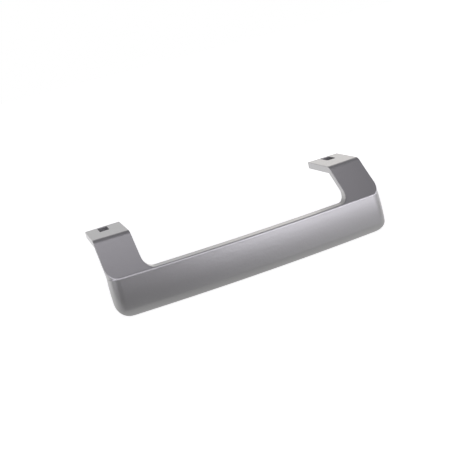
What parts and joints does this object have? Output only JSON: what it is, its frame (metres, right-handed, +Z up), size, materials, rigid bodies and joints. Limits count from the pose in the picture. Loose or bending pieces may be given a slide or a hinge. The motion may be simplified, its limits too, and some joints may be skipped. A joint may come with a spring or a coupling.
{
  "type": "refrigerator door handle",
  "caption": "Bowed refrigerator door handle moulded in one piece: a broad grip hung from bent legs whose slotted feet screw down on the door's edge.",
  "frame": {"origin": "midway between the two slots, on the plane of the feet's undersides", "axes": "+X along the handle, -Y away from the door towards the user, +Z up, out of the feet's top faces"},
  "size_m": [0.1902, 0.0632, 0.048],
  "materials": {
    "silver": "satin metallic silver paint over moulded plastic"
  },
  "bodies": {
    "root": {"handle": "silver"}
  },
  "joints": []
}
